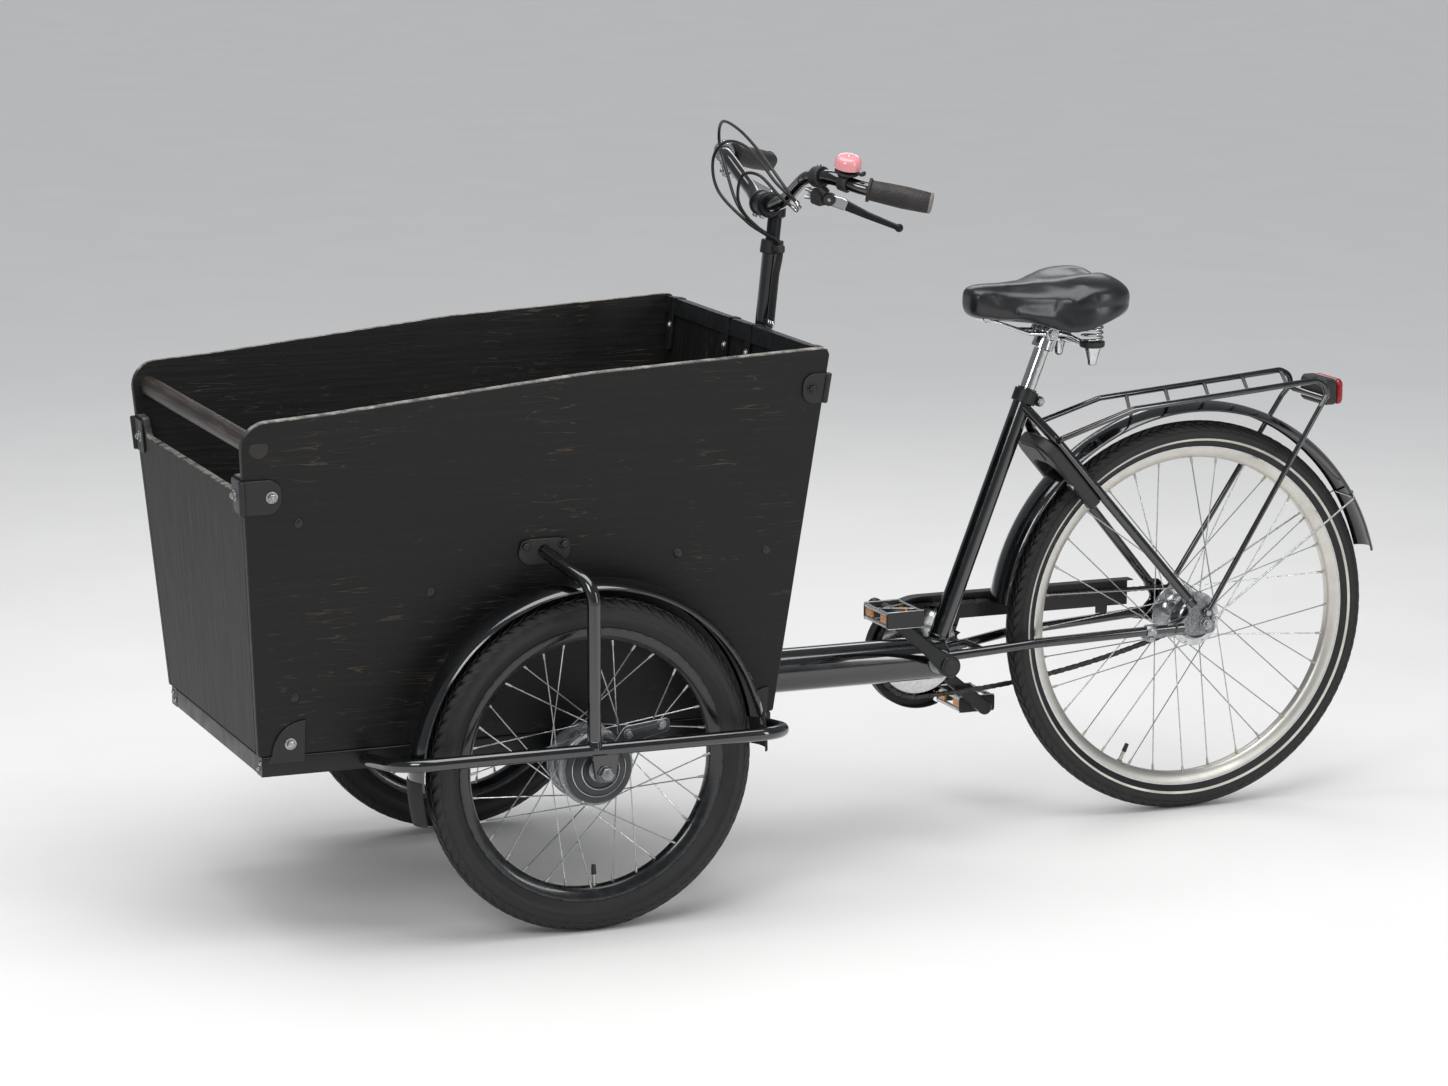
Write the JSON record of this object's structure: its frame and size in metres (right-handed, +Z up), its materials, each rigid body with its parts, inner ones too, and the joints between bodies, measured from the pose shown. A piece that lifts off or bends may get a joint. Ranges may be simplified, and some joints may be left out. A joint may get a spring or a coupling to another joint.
{
  "type": "cargo tricycle",
  "caption": "Front-loading cargo tricycle: an open plywood box between two steered front wheels, pushed by a bicycle rear half with saddle, cranks, chain and luggage carrier.",
  "frame": {"origin": "centre of the bounding box, on the ground under the wheels", "axes": "+X forward, +Y to the rider's left, +Z up"},
  "size_m": [2.044, 0.8086, 1.1661],
  "materials": {
    "black_paint": "gloss",
    "black_steel": "satin",
    "stained_plywood": "matt stain, worn",
    "dark_wood": "worn",
    "bright_alloy": "satin",
    "chrome": "polished",
    "black_alloy": "satin anodised",
    "tyre_rubber": "matt",
    "grip_rubber": "matt",
    "saddle_vinyl": "satin vinyl",
    "black_plastic": "satin",
    "pink_paint": "gloss",
    "red_lens": "clear red"
  },
  "bodies": {
    "rear": {"frame": "black_paint", "seat_clamp": "black_steel", "rear_mudguard": "black_paint", "rear_carrier": "black_paint", "tail_light": "black_plastic", "tail_light_lens": "red_lens", "ring_lock": "black_plastic", "rear_axle": "bright_alloy", "torque_arm": "bright_alloy", "chain_case": "black_plastic", "chain": "black_steel"},
    "crankset": {"crank_axle": "bright_alloy", "crank_left": "black_alloy", "crank_right": "black_alloy", "chainring": "bright_alloy"},
    "left_pedal": {"pedal_left": "black_plastic"},
    "right_pedal": {"pedal_right": "black_plastic"},
    "rear_roller": {"rear_wheel": "bright_alloy", "rear_tyre": "tyre_rubber"},
    "driver": {"rear_sprocket": "black_steel"},
    "seat": {"seat_post": "chrome", "saddle_frame": "chrome", "saddle": "saddle_vinyl", "saddle_spring_left": "chrome", "saddle_spring_right": "chrome"},
    "front": {"chassis": "black_paint", "wheel_guard_left": "black_paint", "wheel_guard_right": "black_paint", "kingpin": "bright_alloy", "side_panel_left": "stained_plywood", "side_panel_right": "stained_plywood", "front_panel": "stained_plywood", "rear_panel": "stained_plywood", "floor_panel": "stained_plywood", "front_dowel": "dark_wood", "rear_top_rail": "black_steel", "front_bracket_left": "black_steel", "front_bracket_right": "black_steel", "rear_bracket_left": "black_steel", "rear_bracket_right": "black_steel", "steering_column": "black_paint", "front_axle_left": "bright_alloy", "front_axle_right": "bright_alloy", "front_mudguard_left": "black_paint", "front_mudguard_right": "black_paint"},
    "front_left_roller": {"front_wheel_left": "bright_alloy", "front_tyre_left": "tyre_rubber"},
    "front_right_roller": {"front_wheel_right": "bright_alloy", "front_tyre_right": "tyre_rubber"},
    "bar": {"stem": "black_alloy", "handlebar": "black_paint", "grip_left": "grip_rubber", "grip_right": "grip_rubber", "brake_perch_left": "black_plastic", "brake_perch_right": "black_plastic", "bell": "pink_paint", "control_cables": "black_plastic"},
    "left_brake_lever": {"brake_lever_left": "black_alloy"},
    "right_brake_lever": {"brake_lever_right": "bright_alloy"},
    "bell_thumb": {"bell_lever": "black_plastic"}
  },
  "joints": [
    {"name": "steer", "type": "hinge", "parent": "rear", "child": "front", "pos_m": [0.42379, 0, 0.292], "axis": [0, 0, 1], "range_deg": [-35, 35]},
    {"name": "rear_wheel_spin", "type": "hinge", "parent": "rear", "child": "rear_roller", "pos_m": [-0.67622, 0, 0.326], "axis": [0, 1, 0], "continuous": true},
    {"name": "crank_spin", "type": "hinge", "parent": "rear", "child": "crankset", "pos_m": [-0.21321, 0, 0.292], "axis": [0, 1, 0], "continuous": true, "deforming": ["chain"]},
    {"name": "sprocket_spin", "type": "hinge", "parent": "rear", "child": "driver", "pos_m": [-0.67622, 0, 0.326], "axis": [0, 1, 0], "continuous": true},
    {"name": "left_pedal_spin", "type": "hinge", "parent": "crankset", "child": "left_pedal", "pos_m": [-0.08299, 0.141, 0.40127], "axis": [0, 1, 0], "continuous": true},
    {"name": "right_pedal_spin", "type": "hinge", "parent": "crankset", "child": "right_pedal", "pos_m": [-0.34344, -0.141, 0.18273], "axis": [0, 1, 0], "continuous": true},
    {"name": "seat_height", "type": "slide", "parent": "rear", "child": "seat", "axis": [-0.36, 0, 0.933], "range_m": [-0.04, 0.05]},
    {"name": "front_left_spin", "type": "hinge", "parent": "front", "child": "front_left_roller", "pos_m": [0.49378, 0.322, 0.256], "axis": [0, 1, 0], "continuous": true},
    {"name": "front_right_spin", "type": "hinge", "parent": "front", "child": "front_right_roller", "pos_m": [0.49378, -0.322, 0.256], "axis": [0, 1, 0], "continuous": true},
    {"name": "stem_height", "type": "slide", "parent": "front", "child": "bar", "axis": [-0.1049, 0, 0.9945], "range_m": [-0.02, 0.04]},
    {"name": "left_brake_squeeze", "type": "hinge", "parent": "bar", "child": "left_brake_lever", "pos_m": [0.05813, 0.2, 1.0678], "axis": [0.4872, 0.8733, 0], "range_deg": [0, 16], "stiffness_Nm_per_rad": 5, "springref_deg": -5.73},
    {"name": "right_brake_squeeze", "type": "hinge", "parent": "bar", "child": "right_brake_lever", "pos_m": [0.05813, -0.2, 1.0678], "axis": [-0.4872, 0.8733, 0], "range_deg": [0, 16], "stiffness_Nm_per_rad": 5, "springref_deg": -5.73},
    {"name": "bell_push", "type": "hinge", "parent": "bar", "child": "bell_thumb", "pos_m": [0.05103, 0.24939, 1.11743], "axis": [0, 0.3085, 0.9512], "range_deg": [0, 35], "stiffness_Nm_per_rad": 0.1, "springref_deg": -5.73}
  ],
  "couplings": [
    {"joint": "sprocket_spin", "follows": "crank_spin", "ratio": 2}
  ]
}
